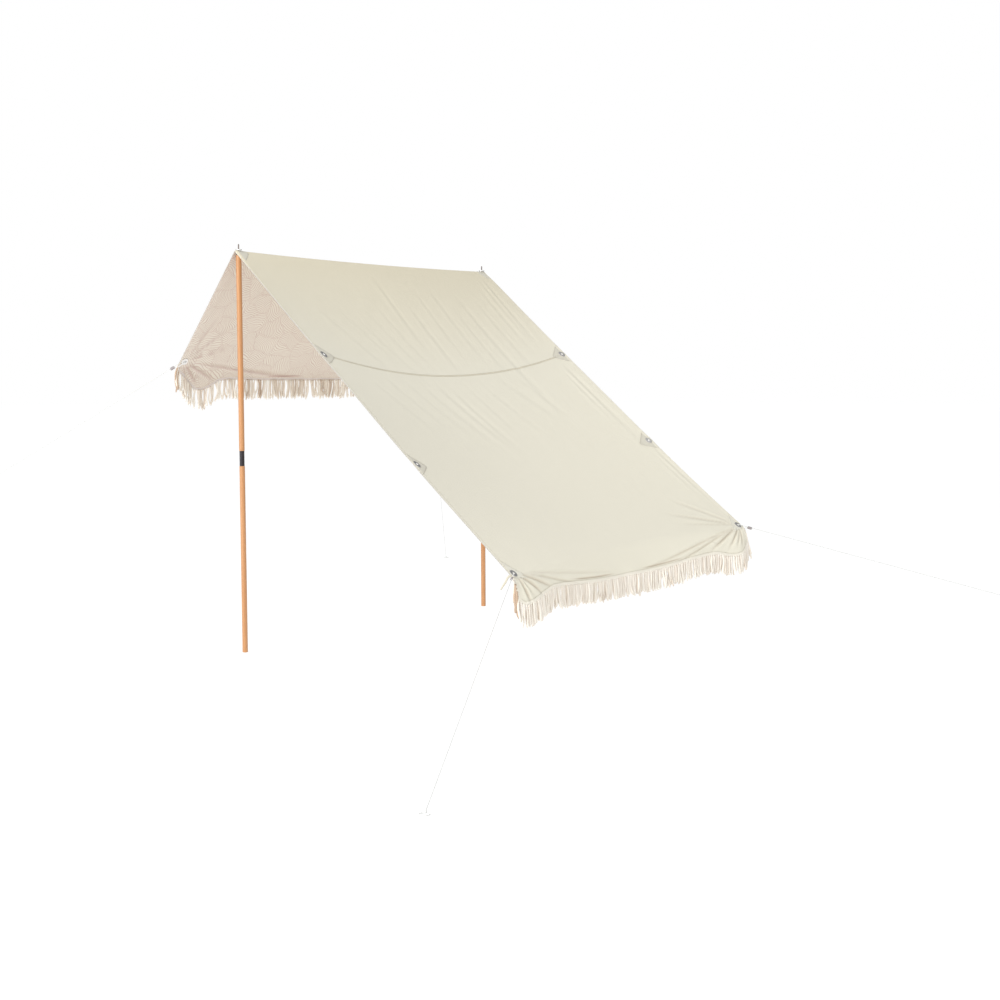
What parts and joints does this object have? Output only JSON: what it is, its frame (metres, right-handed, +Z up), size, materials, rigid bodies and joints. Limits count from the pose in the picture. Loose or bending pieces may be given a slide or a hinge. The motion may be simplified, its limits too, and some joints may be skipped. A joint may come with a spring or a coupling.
{
  "type": "beach canopy",
  "caption": "Fringed canvas beach canopy with a long low front slope and a short back slope over a ridge, held by wooden poles and corner guy lines with sliders.",
  "frame": {"origin": "ground level under the middle of the whole box, guy lines included", "axes": "+Z up, X along the ridge, -Y towards the low front edge of the long slope"},
  "size_m": [4.7622, 3.8836, 1.627],
  "materials": {
    "canvas": "matte cotton canvas",
    "woven_trim": "matte woven tape",
    "cotton_fringe": "matte twisted cotton",
    "varnished_wood": "satin varnish",
    "black_metal": "satin black",
    "eyelet_metal": "dull plated",
    "white_cord": "braided cord",
    "grey_plastic": "moulded"
  },
  "bodies": {
    "canopy": {"canopy_back": "canvas", "canopy_back_flap": "canvas", "canopy_front_flap": "canvas", "canopy_front_lower": "canvas", "canopy_front_upper": "canvas", "corner_eyelet_back_left": "eyelet_metal", "corner_eyelet_back_right": "eyelet_metal", "corner_eyelet_front_left": "eyelet_metal", "corner_eyelet_front_right": "eyelet_metal", "fringe_back": "cotton_fringe", "fringe_band_back": "woven_trim", "fringe_band_front": "woven_trim", "fringe_front": "cotton_fringe", "front_seam_tape": "woven_trim", "guy_line_back_left": "white_cord", "guy_line_back_right": "white_cord", "guy_line_front_left": "white_cord", "guy_line_front_right": "white_cord", "pole_left_connector": "black_metal", "pole_left_lower": "varnished_wood", "pole_left_spike": "eyelet_metal", "pole_left_upper": "varnished_wood", "pole_right_connector": "black_metal", "pole_right_lower": "varnished_wood", "pole_right_spike": "eyelet_metal", "pole_right_upper": "varnished_wood", "ridge_eyelet_left": "eyelet_metal", "ridge_eyelet_right": "eyelet_metal", "side_eyelet_left_lower": "eyelet_metal", "side_eyelet_left_upper": "eyelet_metal", "side_eyelet_right_lower": "eyelet_metal", "side_eyelet_right_upper": "eyelet_metal"},
    "slider_front_left": {"adjuster_front_left": "grey_plastic", "return_knot_front_left": "white_cord"},
    "slider_front_right": {"adjuster_front_right": "grey_plastic", "return_knot_front_right": "white_cord"},
    "slider_back_left": {"adjuster_back_left": "grey_plastic", "return_knot_back_left": "white_cord"},
    "slider_back_right": {"adjuster_back_right": "grey_plastic", "return_knot_back_right": "white_cord"}
  },
  "joints": [
    {"name": "slider_front_left_slide", "type": "slide", "parent": "canopy", "child": "slider_front_left", "axis": [-0.8581, -0.4541, -0.2395], "range_m": [0, 0.35]},
    {"name": "slider_front_right_slide", "type": "slide", "parent": "canopy", "child": "slider_front_right", "axis": [0.7603, -0.5917, -0.2681], "range_m": [0, 0.35]},
    {"name": "slider_back_left_slide", "type": "slide", "parent": "canopy", "child": "slider_back_left", "axis": [-0.692, 0.5007, -0.5201], "range_m": [0, 0.35]},
    {"name": "slider_back_right_slide", "type": "slide", "parent": "canopy", "child": "slider_back_right", "axis": [0.692, 0.5007, -0.5201], "range_m": [0, 0.35]}
  ]
}
